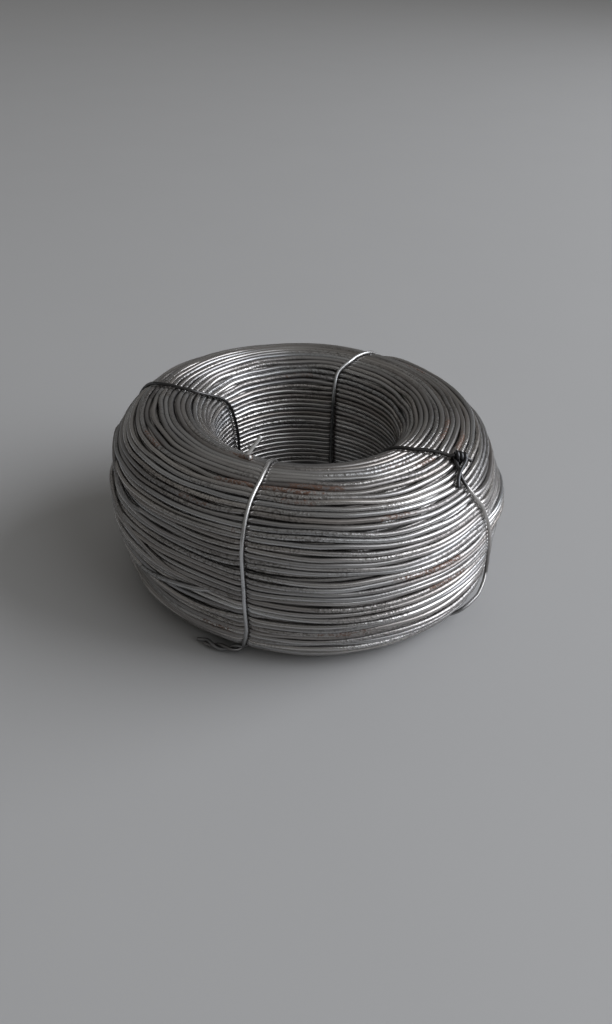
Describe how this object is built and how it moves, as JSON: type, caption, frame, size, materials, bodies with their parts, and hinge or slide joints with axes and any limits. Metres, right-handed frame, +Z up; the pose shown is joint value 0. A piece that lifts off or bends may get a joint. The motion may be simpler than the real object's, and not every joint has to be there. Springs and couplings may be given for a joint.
{
  "type": "coil of tie wire",
  "caption": "Coil of drawn steel tie wire, wound ring-shaped without a spool and bound by short twisted tie wires, for tying and binding work.",
  "frame": {"origin": "centre of the foot, on the surface that the coil lies on", "axes": "+Z up along the coil's axis, -Y towards the front tie's side"},
  "size_m": [0.11, 0.11, 0.0537],
  "materials": {
    "drawn_wire": "bright drawn steel, dulled, with light rust along some turns",
    "tie_wire": "annealed steel wire, grey to dark"
  },
  "bodies": {
    "root": {"wire_coil": "drawn_wire", "tie_front": "tie_wire", "tie_right": "tie_wire", "tie_back": "tie_wire", "tie_left": "tie_wire"}
  },
  "joints": []
}
